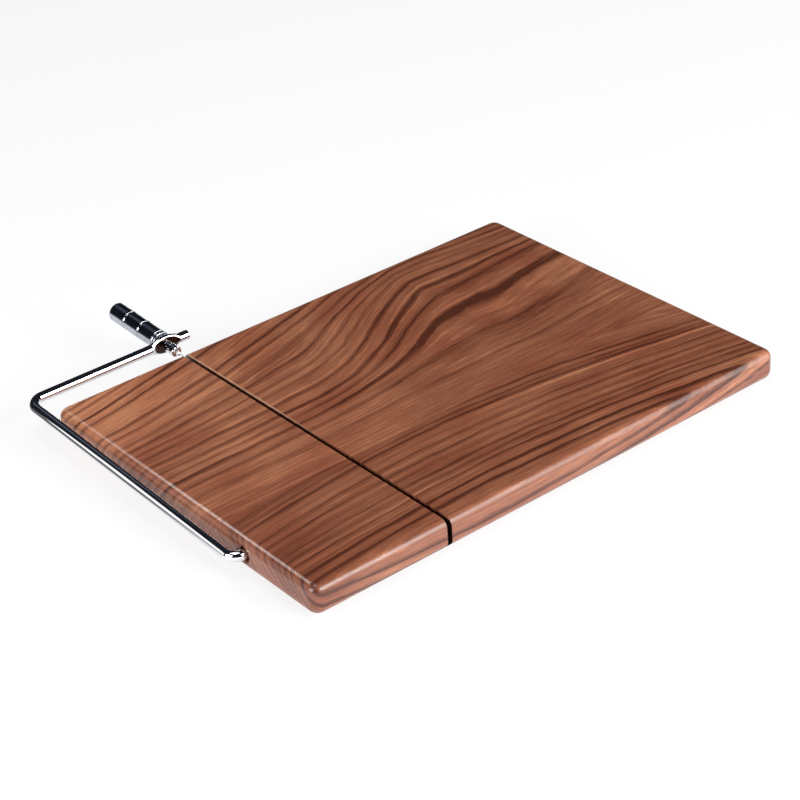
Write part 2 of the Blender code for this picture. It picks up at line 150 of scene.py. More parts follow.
# Feet and screws
FOOT_INSET = 24.0 * MM
FOOT_TOP = -0.02 * MM
FOOT_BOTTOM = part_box("foot_front_left")[0].z
FOOT_TOP_RADIUS = 9.0 * MM
FOOT_BOTTOM_RADIUS = 8.0 * MM
FOOT_FLANGE = 1.6 * MM
FOOT_RECESS_RADIUS = 3.6 * MM
FOOT_HOLE_RADIUS = 1.6 * MM
FOOT_TOP_EDGE = 0.3 * MM
FOOT_BOTTOM_EDGE = 0.8 * MM
FOOT_RECESS_EDGE = 0.4 * MM
PILOT_RADIUS = 1.45 * MM
PILOT_DEPTH = 9.0 * MM
SCREW_HEAD_RADIUS = 2.8 * MM
SCREW_HEAD_FLAT = 0.9 * MM
SCREW_HEAD_ROUND = 0.9 * MM
SCREW_HEAD_HEIGHT = 1.6 * MM
SCREW_NECK_RADIUS = 1.0 * MM
SCREW_THREAD_RADIUS = 1.4 * MM
SCREW_THREAD_DEPTH = 0.4 * MM
SCREW_THREAD_PITCH = 1.1 * MM
SCREW_THREAD_START = 0.3 * MM
SCREW_THREAD_END = 6.0 * MM
SCREW_POINT = 8.0 * MM
SCREW_POINT_RADIUS = 0.1 * MM
CROSS_REACH = 1.7 * MM
CROSS_HALF_WIDTH = 0.3 * MM
CROSS_DEPTH = 0.9 * MM

# Shared by all
TINY = 0.0005 * MM
SMALL_EDGE = 0.2 * MM
FINE_GAP = 0.02 * MM
FINE_STEPS = 64
SMALL_STEPS = 40
SCREW_STEPS = 24
OVERCUT = 5.0 * MM


# ---------------------------------------------------------------- shader formulas


class Term:
    """A number in a shader, so that a formula of several nodes reads as a formula."""

    def __init__(self, tree, source):
        self.tree = tree
        self.source = source

    def join(self, operation, *others):
        node = self.tree.nodes.new("ShaderNodeMath")
        node.operation = operation
        for socket, value in zip(node.inputs, (self, *others)):
            feed(self.tree, socket, value)
        return Term(self.tree, node.outputs[0])

    def __add__(self, other):
        return self.join("ADD", other)

    def __radd__(self, other):
        return self.join("ADD", other)

    def __sub__(self, other):
        return self.join("SUBTRACT", other)

    def __rsub__(self, other):
        return (self * -1.0) + other

    def __mul__(self, other):
        return self.join("MULTIPLY", other)

    def __rmul__(self, other):
        return self.join("MULTIPLY", other)

    def __truediv__(self, other):
        return self.join("DIVIDE", other)

    def absolute(self):
        return self.join("ABSOLUTE")

    def square_root(self):
        return self.join("SQRT")

    def or_larger(self, other):
        return self.join("MAXIMUM", other)


def feed(tree, socket, value):
    """Give a node's input a term, or a plain number."""
    if isinstance(value, Term):
        tree.links.new(value.source, socket)
    else:
        socket.default_value = value


def step(term, low, high, interpolation="SMOOTHSTEP"):
    """0 below low, 1 above high, and a smooth rise between them. high below low gives a fall."""
    node = term.tree.nodes.new("ShaderNodeMapRange")
    node.interpolation_type = interpolation
    feed(term.tree, node.inputs["Value"], term)
    feed(term.tree, node.inputs["From Min"], low)
    feed(term.tree, node.inputs["From Max"], high)
    return Term(term.tree, node.outputs["Result"])


def vector(x, y, z):
    """Three terms as one vector socket."""
    tree = next(value.tree for value in (x, y, z) if isinstance(value, Term))
    node = tree.nodes.new("ShaderNodeCombineXYZ")
    for socket, value in zip(node.inputs, (x, y, z)):
        feed(tree, socket, value)
    return node.outputs[0]


def noise(tree, place, detail=2.0, roughness=0.5, distortion=0.0):
    """Noise between 0 and 1, about one blob per unit of place."""
    node = tree.nodes.new("ShaderNodeTexNoise")
    tree.links.new(place, node.inputs["Vector"])
    node.inputs["Scale"].default_value = 1.0
    node.inputs["Detail"].default_value = detail
    node.inputs["Roughness"].default_value = roughness
    node.inputs["Distortion"].default_value = distortion
    return Term(tree, node.outputs["Fac"])


def ramp(term, stops, interpolation="LINEAR"):
    """Colours along a term between 0 and 1, from (place, colour) stops."""
    node = term.tree.nodes.new("ShaderNodeValToRGB")
    node.color_ramp.interpolation = interpolation
    elements = node.color_ramp.elements
    while len(elements) < len(stops):
        elements.new(0.5)
    for element, (place, colour) in zip(elements, stops):
        element.position = place
        element.color = (*colour, 1.0)
    feed(term.tree, node.inputs["Fac"], term)
    return node.outputs["Color"]


def blend_colours(tree, factor, first, second, mode="MIX"):
    """Mix two colour sockets, or plain colours, by a term."""
    node = tree.nodes.new("ShaderNodeMix")
    node.data_type = "RGBA"
    node.blend_type = mode
    feed(tree, node.inputs[0], factor)
    for socket, colour in zip((node.inputs[6], node.inputs[7]), (first, second)):
        if isinstance(colour, tuple):
            socket.default_value = (*colour, 1.0)
        else:
            tree.links.new(colour, socket)
    return node.outputs[2]


def bump(tree, height, strength, distance):
    """A bump of a height term, distance deep where the term is 1."""
    node = tree.nodes.new("ShaderNodeBump")
    node.inputs["Strength"].default_value = strength
    node.inputs["Distance"].default_value = distance
    feed(tree, node.inputs["Height"], height)
    return node.outputs["Normal"]


def new_material(name):
    """A material, its tree, its Principled shader, and the place on the object in millimetres as terms."""
    made = bpy.data.materials.new(name)
    made.use_nodes = True
    tree = made.node_tree
    shader = tree.nodes["Principled BSDF"]
    place = tree.nodes.new("ShaderNodeTexCoord").outputs["Object"]
    parts = tree.nodes.new("ShaderNodeSeparateXYZ")
    tree.links.new(place, parts.inputs[0])
    x, y, z = (Term(tree, socket) * (1.0 / MM) for socket in parts.outputs)
    return made, tree, shader, x, y, z


# ---------------------------------------------------------------- walnut

# The wood's colours, from its palest growth to its darkest lines
WOOD_TONES = (
    (0.00, (0.400, 0.167, 0.084)),
    (0.25, (0.277, 0.109, 0.0565)),
    (0.45, (0.193, 0.0695, 0.0362)),
    (0.70, (0.136, 0.0455, 0.0233)),
    (1.00, (0.058, 0.0165, 0.0085)),
)

# Where the dark growth lines start at the left end, in millimetres across the board, and how dark they are
BACK_LINES = (
    (-13.0, 0.25), (-1.0, 0.50), (8.0, 1.00), (15.3, 0.55), (22.0, 0.75), (31.0, 0.70), (40.0, 0.45),
    (46.0, 0.30), (53.0, 0.65), (60.0, 0.50), (69.5, 0.55), (76.5, 0.80), (94.0, 0.90), (101.5, 1.00),
    (111.5, 0.65), (118.0, 0.70),
)
FRONT_LINES = (
    (-112.0, 0.85), (-104.5, 1.00), (-95.5, 0.50), (-89.5, 0.50), (-84.0, 0.45), (-77.5, 0.35),
    (-70.0, 0.45), (-62.0, 0.45), (-48.0, 0.65), (-43.5, 0.45), (-37.5, 0.50),
)
FRONT_PALE_LINES = ((-99.8, 0.60), (-80.5, 0.35), (-51.7, 1.00))
LINES_LOW = -150.0
LINES_HIGH = 130.0
MOST_STOPS = 30
LINE_GROWS_OVER = 2.9
LINE_FADES_OVER = 1.6
PALE_LINE_REACH = 1.6
LINE_WOBBLE = 4.0

# How much each part of the pattern darkens the wood
FIBRE_WEIGHT = 1.10
PATCH_WEIGHT = 0.72
LINE_WEIGHT = 0.70
PALE_LINE_WEIGHT = 0.40
FAR_LEFT_PALER = 0.30
FAR_RIGHT_DARKER = 0.12

# Tints laid over the wood, then the slot's painted shade and the painted highlight on its lip
REDDISH = (1.10, 0.94, 0.90)
PORE_SHADE = (0.52, 0.46, 0.42)
PAINTED_SLOT_SHADE = (0.10, 0.08, 0.07)
PAINTED_LIP_HIGHLIGHT = (0.60, 0.38, 0.25)


def back_flow(x, y):
    """How far across the board the growth line through a place started, on the back stave.

    The lines start parallel at the left end, rise across the board, and spread out towards the right end.
    """
    rise = 66.5 * step(y, -27.5, 105.0)
    steady = 0.27 + 0.64 * step(y, 10.0, 130.0)
    sway = step(x - 0.51 * y, -70.5, 36.5)
    share = steady * step(x, -166.0, 74.0, "LINEAR") + (1.0 - steady) * sway
    ending = step(x, 85.0, 175.0) * (3.5 - 10.5 * step(y, 75.0, 110.0))
    return y - rise * share - ending


def front_flow(x, y):
    """The same for the front stave, whose lines are long arches."""
    reach = x + 45.0
    return y + reach * reach * (0.0005 + 0.00022 * step(y, -105.0, -45.0))


def line_strength(flow, lines, before, after):
    """How strong the growth lines are, from 0 to 1: each grows slowly up to its place, then fades faster."""
    span = LINES_HIGH - LINES_LOW
    share = (flow - LINES_LOW) * (1.0 / span)
    stops = []
    for line, depth in lines:
        stops += [(line - before, 0.0), (line, depth), (line + after, 0.0)]
    stops = [((place - LINES_LOW) / span, (value,) * 3) for place, value in stops]
    total = None
    for start in range(0, len(stops), MOST_STOPS):
        part = Term(flow.tree, ramp(share, [(0.0, (0.0,) * 3)] + stops[start:start + MOST_STOPS], "EASE"))
        total = part if total is None else total.or_larger(part)
    return total


def walnut_detail(tree, x, flow, z):
    """The wood's fine structure: fibres, pores, and slow patches."""
    fibre = noise(tree, vector(x * 0.035, flow * 0.95, z * 0.95), detail=5.0, roughness=0.68)
    pores = noise(tree, vector(x * 0.16, flow * 2.2, z * 2.2), detail=2.0, roughness=0.6)
    patches = noise(tree, vector(x * 0.015 + 3.0, flow * 0.035, z * 0.05), detail=3.0)
    return fibre, step(pores, 0.60, 0.74), patches


def mark_slot(tree, x, y, z, colour):
    """Paint shade on the slot's walls below their lips, and a pale painted highlight on the right lip along
    the far half.
    """
    across = x - SLOT_X / MM
    depth = BOARD_THICKNESS / MM - z
    wall = SLOT_WIDTH / 2 / MM
    # painted shade: the slot's walls go near black below their lips, where the narrow kerf lies in shadow
    painted_slot_shade_mask = step(across.absolute(), wall + 0.30, wall + 0.06) * step(depth, 0.9, 2.3)
    colour = blend_colours(tree, painted_slot_shade_mask, colour, PAINTED_SLOT_SHADE, "MULTIPLY")
    lip = step(across, wall - 0.30, wall - 0.05) * step(across, wall + 0.50, wall + 0.25)
    # painted highlight: the right lip is painted pale along the far half, where light catches its edge
    painted_lip_highlight_mask = lip * step(depth, 1.2, 0.6) * step(y, -30.0, 50.0)
    return blend_colours(tree, painted_lip_highlight_mask * 0.6, colour, PAINTED_LIP_HIGHLIGHT)


def make_walnut(name, flow_of, lines, pale_lines, lean, fineness, depth, base, quiet):
    """Oiled walnut whose growth layers run through the solid, so every face shows the same rings.

    The layers lean by lean millimetres across for each one down. Between the named lines run minor ones,
    which are depth strong and fineness to a millimetre. The wood's darkness is base, and more by quiet where
    the back stave's figure fades out, near the glue line.
    """
    made, tree, shader, x, y, z = new_material(name)
    leaning = y + lean * (z - BOARD_THICKNESS / MM)
    wobble = noise(tree, vector(x * 0.022, leaning * 0.06, z * 0.06), detail=4.0, roughness=0.55)
    flow = flow_of(x, leaning) + (wobble - 0.5) * LINE_WOBBLE
    fibre, pore, patches = walnut_detail(tree, x, flow, z)
    minor = noise(tree, vector(x * 0.0035, flow * fineness, 7.0), detail=4.0, roughness=0.62)
    patchy = noise(tree, vector(x * 0.018, flow * 0.2, z * 0.1 + 5.0), detail=2.0)
    dark = line_strength(flow, lines, LINE_GROWS_OVER, LINE_FADES_OVER) * (0.55 + 0.9 * patchy)
    tone = base + depth * (minor - 0.5) + FIBRE_WEIGHT * (fibre - 0.5)
    tone = tone + PATCH_WEIGHT * (patches - 0.5) + LINE_WEIGHT * dark
    if pale_lines:
        pale = line_strength(flow, pale_lines, PALE_LINE_REACH, PALE_LINE_REACH) * step(x, -60.0, 60.0)
        tone = tone - PALE_LINE_WEIGHT * pale
    far = step(y, 20.0, 120.0)
    tone = tone - FAR_LEFT_PALER * far * step(x, -25.0, -165.0)
    tone = tone + FAR_RIGHT_DARKER * far * step(x, -60.0, 170.0)
    tone = tone + quiet * step(x, -90.0, 60.0) * step(y, 30.0, 5.0)
    colour = ramp(tone, WOOD_TONES)
    colour = blend_colours(tree, 0.6 * step(patches, 0.42, 0.66), colour, REDDISH, "MULTIPLY")
    colour = blend_colours(tree, pore * 0.6, colour, PORE_SHADE, "MULTIPLY")
    tree.links.new(mark_slot(tree, x, y, z, colour), shader.inputs["Base Color"])
    sheen = 0.20 + 0.12 * fibre + 0.12 * pore
    tree.links.new(sheen.source, shader.inputs["Roughness"])
    relief = fibre * 0.5 - pore - dark * 0.3
    tree.links.new(bump(tree, relief, 0.5, 0.05 * MM), shader.inputs["Normal"])
    shader.inputs["Specular IOR Level"].default_value = 0.5
    return made


# ---------------------------------------------------------------- metals, nylon and rubber

# Painted reflection on the arm's eye: the board's shaded far side, dark brown
EYE_PAINTED_REFLECTION = (0.085, 0.055, 0.045)
RUBBER_BLACK = (0.016, 0.016, 0.017)
NYLON_BLACK = (0.014, 0.014, 0.016)


def on_eye_face(x, y, z):
    """1 on the near face of the arm's eye inside its rim, and 0 elsewhere."""
    from_y = y - PIVOT.y / MM
    from_z = z - PIVOT.z / MM
    along = from_y * math.cos(ARM_TILT) + from_z * math.sin(ARM_TILT)
    up = from_z * math.cos(ARM_TILT) - from_y * math.sin(ARM_TILT)
    wide = (x - WIRE_X / MM) * (MM / EYE_HALF_LENGTH)
    tall = up * (MM / EYE_HALF_HEIGHT)
    face = (ARM_REACH - EYE_HALF_THICKNESS) / MM
    return step(along, face + 0.7, face + 0.2) * step(wide * wide + tall * tall, 0.84, 0.66)


def make_chrome(name, paint_eye_reflection=False):
    """Bright chrome plate with faint wiping marks and finger haze, and for the arm a painted reflection on
    the eye's face.
    """
    made, tree, shader, x, y, z = new_material(name)
    haze = noise(tree, vector(x * 0.06, y * 0.06, z * 0.06), detail=4.0, roughness=0.6)
    marks = noise(tree, vector(x * 1.5, y * 0.25, z * 1.5), detail=3.0)
    tree.links.new((0.035 + 0.10 * haze * marks).source, shader.inputs["Roughness"])
    tone = ramp(haze, ((0.3, (0.80, 0.81, 0.83)), (0.7, (0.88, 0.89, 0.91))))
    if paint_eye_reflection:
        # painted reflection: the eye's near face turns dark brown, as the board's shaded far side would look
        # in it
        tone = blend_colours(tree, on_eye_face(x, y, z), tone, EYE_PAINTED_REFLECTION)
    tree.links.new(tone, shader.inputs["Base Color"])
    tree.links.new(bump(tree, haze, 0.06, 0.05 * MM), shader.inputs["Normal"])
    shader.inputs["Metallic"].default_value = 1.0
    return made


def make_nickel():
    """Polished nickel plate, turned on a lathe, with soft streaks along it."""
    made, tree, shader, x, y, z = new_material("polished_nickel")
    streaks = noise(tree, vector(x * 0.9, y * 0.07, z * 0.9), detail=4.0, roughness=0.6)
    rings = noise(tree, vector(x * 0.02, y * 6.0, z * 0.02), detail=2.0)
    tree.links.new((0.09 + 0.14 * streaks * streaks).source, shader.inputs["Roughness"])
    tone = ramp(streaks, ((0.3, (0.34, 0.36, 0.40)), (0.7, (0.56, 0.59, 0.64))))
    tree.links.new(tone, shader.inputs["Base Color"])
    tree.links.new(bump(tree, rings + streaks * 0.6, 0.10, 0.01 * MM), shader.inputs["Normal"])
    shader.inputs["Metallic"].default_value = 1.0
    return made


def make_steel():
    """Drawn stainless steel, with fine lines along it."""
    made, tree, shader, x, y, z = new_material("drawn_steel")
    drawn = noise(tree, vector(x * 9.0, y * 0.4, z * 9.0), detail=3.0)
    tree.links.new((0.30 + 0.16 * drawn).source, shader.inputs["Roughness"])
    tone = ramp(drawn, ((0.3, (0.66, 0.63, 0.60)), (0.7, (0.80, 0.77, 0.74))))
    tree.links.new(tone, shader.inputs["Base Color"])
    tree.links.new(bump(tree, drawn, 0.15, 0.01 * MM), shader.inputs["Normal"])
    shader.inputs["Metallic"].default_value = 1.0
    return made


def make_moulded(name, colour, roughness, grain):
    """A moulded black material with a fine eroded texture."""
    made, tree, shader, x, y, z = new_material(name)
    cells = noise(tree, vector(x * grain, y * grain, z * grain), detail=3.0, roughness=0.6)
    dust = noise(tree, vector(x * 0.3, y * 0.3, z * 0.3), detail=4.0)
    pale = tuple(1.9 * part + 0.01 for part in colour)
    tree.links.new(ramp(dust, ((0.35, colour), (0.8, pale))), shader.inputs["Base Color"])
    tree.links.new((roughness + 0.12 * cells).source, shader.inputs["Roughness"])
    tree.links.new(bump(tree, cells, 0.4, 0.04 * MM), shader.inputs["Normal"])
    return made


# ---------------------------------------------------------------- mesh helpers


def mesh_object(name, bm, material, sharp=40.0):
    """Turn a bmesh into a shaded object in the scene."""
    bmesh.ops.recalc_face_normals(bm, faces=bm.faces)
    mesh = bpy.data.meshes.new(name)
    bm.to_mesh(mesh)
    bm.free()
    mesh.materials.append(material)
    mesh.shade_smooth()
    mesh.set_sharp_from_angle(angle=math.radians(sharp))
    made = bpy.data.objects.new(name, mesh)
    bpy.context.scene.collection.objects.link(made)
    return made


def set_down(made, matrix):
    """Move an object's mesh to its place in the frame, and leave its origin at the frame's."""
    made.data.transform(matrix)
    return made


def finish_piece(made, body, slot, *nodes):
    """The piece rides on a body and stands for CAD nodes. Its slot argument is not used.

    Its large faces keep their own normals, so that flats stay flat beside rounded edges.
    """
    weighted = made.modifiers.new("flat_faces", "WEIGHTED_NORMAL")
    weighted.mode = "FACE_AREA"
    weighted.keep_sharp = True
    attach(made, body)
    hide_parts(*nodes)
    return made


def skin_rings(bm, rings):
    """Join rings of equal point counts with quads and close both ends."""
    loops = [[bm.verts.new(point) for point in ring] for ring in rings]
    for low, high in zip(loops, loops[1:]):
        for i, vert in enumerate(low):
            after = (i + 1) % len(low)
            bm.faces.new((vert, low[after], high[after], high[i]))
    bm.faces.new(loops[0])
    bm.faces.new(loops[-1])


def turned(profile, steps=FINE_STEPS, closed=False):
    """(height, radius) points spun about local Z. A closed profile has a hole down its middle."""
    bm = bmesh.new()
    points = [bm.verts.new((radius, 0.0, height)) for height, radius in profile]
    pairs = list(zip(points, points[1:]))
    if closed:
        pairs.append((points[-1], points[0]))
    edges = [bm.edges.new(pair) for pair in pairs]
    bmesh.ops.spin(
        bm, geom=points + edges, axis=(0, 0, 1), cent=(0, 0, 0), angle=math.tau, steps=steps, use_merge=True
    )
    bmesh.ops.remove_doubles(bm, verts=bm.verts, dist=TINY)
    return bm


def arc(centre_height, centre_radius, radius, start, end, steps=6):
    """Points of an arc in a turned profile. An angle of 0 points outwards, and 90 degrees points up."""
    points = []
    for i in range(steps + 1):
        angle = math.radians(start + (end - start) * i / steps)
        points.append((centre_height + radius * math.sin(angle), centre_radius + radius * math.cos(angle)))
    return points


def box(low, high):
    """A box between two corners."""
    bm = bmesh.new()
    size = Vector(high) - Vector(low)
    middle = (Vector(high) + Vector(low)) / 2
    bmesh.ops.create_cube(bm, size=1.0, matrix=Matrix.Translation(middle) @ Matrix.Diagonal((*size, 1.0)))
    return bm


def carve(made, cutters, operation="DIFFERENCE"):
    """Cut (bmesh, matrix) shapes out of an object for good."""
    material = made.data.materials[0]
    for index, (bm, matrix) in enumerate(cutters):
        cutter = mesh_object(f"{made.name}_cutter_{index}", bm, material)
        cutter.data.transform(matrix)
        boolean = made.modifiers.new("carve", "BOOLEAN")
        boolean.operation = operation
        boolean.solver = "EXACT"
        boolean.object = cutter
        bpy.context.view_layer.update()
        graph = bpy.context.evaluated_depsgraph_get()
        carved = bpy.data.meshes.new_from_object(made.evaluated_get(graph))
        made.modifiers.clear()
        made.data = carved
        bpy.data.objects.remove(cutter, do_unlink=True)
    return made


def soften(made, chosen, width, segments=2, sharp=40.0):
    """Bevel the edges that the chosen test picks from their two ends."""
    bm = bmesh.new()
    bm.from_mesh(made.data)
    edges = [
        edge
        for edge in bm.edges
        if len(edge.link_faces) == 2
        and edge.calc_face_angle(0.0) > math.radians(35.0)
        and chosen(edge.verts[0].co, edge.verts[1].co)
    ]
    bmesh.ops.bevel(
        bm, geom=edges, offset=width, offset_type="OFFSET", segments=segments, profile=0.6,
        affect="EDGES", clamp_overlap=True,
    )
    bm.to_mesh(made.data)
    bm.free()
    made.data.shade_smooth()
    made.data.set_sharp_from_angle(angle=math.radians(sharp))


def quarter(start, steps):
    """Angles of a quarter turn from start."""
    return [start + math.pi / 2 * i / steps for i in range(steps + 1)]


# ---------------------------------------------------------------- board

ROUND_STEPS = 10
CORNER_STEPS = 10


def slab_outline(inset, height):
    """The board's plan outline, moved in by inset, as one ring of points."""
    ring = []
    radius = max(CORNER_RADIUS - inset, LEAST_CORNER)
    corner_x = BOARD_LENGTH / 2 - inset - radius
    corner_y = BOARD_WIDTH / 2 - inset - radius
    for turn, (side_x, side_y) in enumerate(((1, 1), (-1, 1), (-1, -1), (1, -1))):
        for angle in quarter(turn * math.pi / 2, CORNER_STEPS):
            x = side_x * corner_x + radius * math.cos(angle)
            y = side_y * corner_y + radius * math.sin(angle)
            ring.append((x, y, height))
    return ring


def board_solid():
    """The whole board with its edges rounded over."""
    rings = []
    for angle in quarter(0.0, ROUND_STEPS):
        inset = BOTTOM_ROUND * (1 - math.sin(angle))
        rings.append(slab_outline(inset, BOTTOM_ROUND * (1 - math.cos(angle))))
    for angle in quarter(0.0, ROUND_STEPS):
        inset = TOP_ROUND * (1 - math.cos(angle))
        rings.append(slab_outline(inset, BOARD_THICKNESS - TOP_ROUND * (1 - math.sin(angle))))
    bm = bmesh.new()
    skin_rings(bm, rings)
    return bm


def slot_cutter():
    """The slot that the wire drops into, open at both sides."""
    half = SLOT_WIDTH / 2
    low = (SLOT_X - half, -BOARD_WIDTH, SLOT_FLOOR)
    return box(low, (SLOT_X + half, BOARD_WIDTH, BOARD_THICKNESS + OVERCUT)), Matrix.Identity(4)


def bore_cutter():
    """The pivot hole, with a wider countersunk mouth in the end of the board."""
    rim = MOUTH_RADIUS + MOUTH_CHAMFER
    profile = [
        (-OVERCUT, 0.0),
        (-OVERCUT, rim),
        (0.0, rim),
        (MOUTH_CHAMFER, MOUTH_RADIUS),
        (MOUTH_DEPTH, MOUTH_RADIUS),
        (MOUTH_DEPTH, BORE_RADIUS),
        (BORE_LENGTH, BORE_RADIUS),
        (BORE_LENGTH, 0.0),
    ]
    at = Matrix.Translation((-BOARD_LENGTH / 2, PIVOT.y, PIVOT.z))
    return turned(profile, FINE_STEPS), at @ Matrix.Rotation(math.pi / 2, 4, "Y")


def foot_places():
    """Each foot's name ending and its place under the board."""
    reach_x = BOARD_LENGTH / 2 - FOOT_INSET
    reach_y = BOARD_WIDTH / 2 - FOOT_INSET
    return {
        f"{row}_{side}": Vector((sign_x * reach_x, sign_y * reach_y, 0.0))
        for row, sign_y in (("front", -1), ("rear", 1))
        for side, sign_x in (("left", -1), ("right", 1))
    }


def pilot_cutter(spot):
    """The pilot hole of a foot's screw."""
    profile = [(-OVERCUT, 0.0), (-OVERCUT, PILOT_RADIUS), (PILOT_DEPTH, PILOT_RADIUS), (PILOT_DEPTH, 0.0)]
    return turned(profile, SMALL_STEPS), Matrix.Translation(spot)


def at_slot(first, second):
    """Whether both ends of an edge lie on one wall of the slot, above its floor."""
    walls = (SLOT_X - SLOT_WIDTH / 2, SLOT_X + SLOT_WIDTH / 2)
    on_wall = any(abs(first.x - wall) < TINY and abs(second.x - wall) < TINY for wall in walls)
    above = min(first.z, second.z) > SLOT_FLOOR + TINY
    upright = max(first.z, second.z) > SLOT_FLOOR + 1.0 * MM
    inside = abs(first.y - GLUE_LINE_Y) < 2 * GLUE_FILM and abs(second.y - GLUE_LINE_Y) < 2 * GLUE_FILM
    return on_wall and (above or upright) and not inside


def make_board(back_wood, front_wood):
    """The two staves, glued edge to edge."""
    feet = foot_places()
    spans = {
        "walnut_stave_back": ("stave_back", back_wood, GLUE_LINE_Y + GLUE_FILM, BOARD_WIDTH, "rear"),
        "walnut_stave_front": ("stave_front", front_wood, -BOARD_WIDTH, GLUE_LINE_Y - GLUE_FILM, "front"),
    }
    for name, (node, wood, low_y, high_y, row) in spans.items():
        stave = mesh_object(name, board_solid(), wood)
        span = box((-BOARD_LENGTH, low_y, -OVERCUT), (BOARD_LENGTH, high_y, BOARD_THICKNESS + OVERCUT))
        carve(stave, [(span, Matrix.Identity(4))], "INTERSECT")
        cuts = [slot_cutter()]
        if row == "front":
            cuts.append(bore_cutter())
        cuts += [pilot_cutter(spot) for ending, spot in feet.items() if ending.startswith(row)]
        carve(stave, cuts)
        soften(stave, at_slot, SLOT_EASE)
        finish_piece(stave, "board", "walnut", node)


def make_feet(rubber, steel):
    """Rubber feet, each held by a pan head screw in its recess."""
    ceiling = FOOT_TOP - FOOT_FLANGE
    shoulder = FOOT_BOTTOM_RADIUS - FOOT_BOTTOM_EDGE / 2
    lip = FOOT_RECESS_RADIUS + FOOT_RECESS_EDGE
    outside = (
        [(FOOT_TOP, FOOT_HOLE_RADIUS)]
        + arc(FOOT_TOP - FOOT_TOP_EDGE, FOOT_TOP_RADIUS - FOOT_TOP_EDGE, FOOT_TOP_EDGE, 90, 0, 3)
        + arc(FOOT_BOTTOM + FOOT_BOTTOM_EDGE, shoulder, FOOT_BOTTOM_EDGE, -8, -90)
        + arc(FOOT_BOTTOM + FOOT_RECESS_EDGE, lip, FOOT_RECESS_EDGE, -90, -180, 4)
        + [(ceiling, FOOT_RECESS_RADIUS), (ceiling, FOOT_HOLE_RADIUS)]
    )
    for ending, spot in foot_places().items():
        foot = set_down(mesh_object(f"rubber_foot_{ending}", turned(outside, closed=True), rubber),
                        Matrix.Translation(spot))
        finish_piece(foot, "board", "black_rubber", f"foot_{ending}")
        screw = set_down(make_screw(f"pan_screw_{ending}", ceiling, steel), Matrix.Translation(spot))
        finish_piece(screw, "board", "stainless_steel", f"foot_screw_{ending}")


def threaded_rings(radius, depth, pitch, start, end, steps):
    """Rings of a V thread between two heights, for skin_rings."""
    rows = 6
    count = int(round((end - start) / pitch * rows))
    rings = []
    for row in range(count + 1):
        height = start + (end - start) * row / count
        fade = min(1.0, (height - start) / pitch, (end - height) / pitch)
        ring = []
        for i in range(steps):
            angle = math.tau * i / steps
            phase = (height / pitch - angle / math.tau) % 1.0
            groove = depth * fade * (1.0 - abs(2.0 * phase - 1.0))
            ring.append(((radius - groove) * math.cos(angle), (radius - groove) * math.sin(angle), height))
        rings.append(ring)
    return rings


def ring_at(height, radius, steps):
    """One flat ring about local Z."""
    return [
        (radius * math.cos(math.tau * i / steps), radius * math.sin(math.tau * i / steps), height)
        for i in range(steps)
    ]


def make_screw(name, ceiling, steel):
    """A pan head wood screw with a cross recess and a coarse thread."""
    head_top = ceiling - FINE_GAP
    head_bottom = head_top - SCREW_HEAD_HEIGHT
    side = SCREW_HEAD_RADIUS - SCREW_HEAD_ROUND
    outline = [(head_bottom, SCREW_HEAD_FLAT)]
    outline += arc(head_bottom + SCREW_HEAD_ROUND, side, SCREW_HEAD_ROUND, -80, 0, 5)
    outline += [(head_top, SCREW_HEAD_RADIUS), (head_top, SCREW_NECK_RADIUS)]
    rings = [ring_at(height, radius, SCREW_STEPS) for height, radius in outline]
    rings += threaded_rings(
        SCREW_THREAD_RADIUS, SCREW_THREAD_DEPTH, SCREW_THREAD_PITCH, SCREW_THREAD_START, SCREW_THREAD_END,
        SCREW_STEPS,
    )
    rings.append(ring_at(SCREW_POINT, SCREW_POINT_RADIUS, SCREW_STEPS))
    bm = bmesh.new()
    skin_rings(bm, rings)
    screw = mesh_object(name, bm, steel)
    low = (-CROSS_REACH, -CROSS_HALF_WIDTH, head_bottom - OVERCUT)
    high = (CROSS_REACH, CROSS_HALF_WIDTH, head_bottom + CROSS_DEPTH)
    blades = [(box(low, high), Matrix.Rotation(turn, 4, "Z")) for turn in (0.0, math.pi / 2)]
    return carve(screw, blades)


# ---------------------------------------------------------------- arm

# From the arm's own frame to the scene's, and from a turned piece's axis to the wire's line.
ARM_FRAME = Matrix.Translation((0.0, PIVOT.y, PIVOT.z)) @ Matrix.Rotation(ARM_TILT, 4, "X")
WIRE_LINE = ARM_FRAME @ Matrix.Translation((WIRE_X, 0.0, 0.0)) @ Matrix.Rotation(-math.pi / 2, 4, "X")
SECTION_STEPS = 48
BEND_STEPS = 22
EYE_STATIONS = 44


def smooth_step(value, low, high):
    """0 below low, 1 above high, and a smooth rise between them."""
    share = min(max((value - low) / (high - low), 0.0), 1.0)
    return share * share * (3.0 - 2.0 * share)


def rod_section(centre, heading, half_thickness, half_height):
    """A ring of points round the rod: a circle, or flat sided where the rod is pressed into the eye."""
    across = Vector((-heading.y, heading.x, 0.0))
    straight = half_height - half_thickness
    ring = []
    for i in range(SECTION_STEPS):
        angle = math.tau * (i + 0.5) / SECTION_STEPS
        lift = math.copysign(straight, math.sin(angle))
        up = Vector((0.0, 0.0, lift + half_thickness * math.sin(angle)))
        ring.append(centre + across * half_thickness * math.cos(angle) + up)
    return ring


def bend_stations(middle, radius, start):
    """Centres and headings round a quarter bend about its middle, turning clockwise from the start angle."""
    stations = []
    for i in range(BEND_STEPS + 1):
        angle = start - math.pi / 2 * i / BEND_STEPS
        out = Vector((math.cos(angle), math.sin(angle), 0.0))
        stations.append((middle + radius * out, Vector((out.y, -out.x, 0.0))))
    return stations


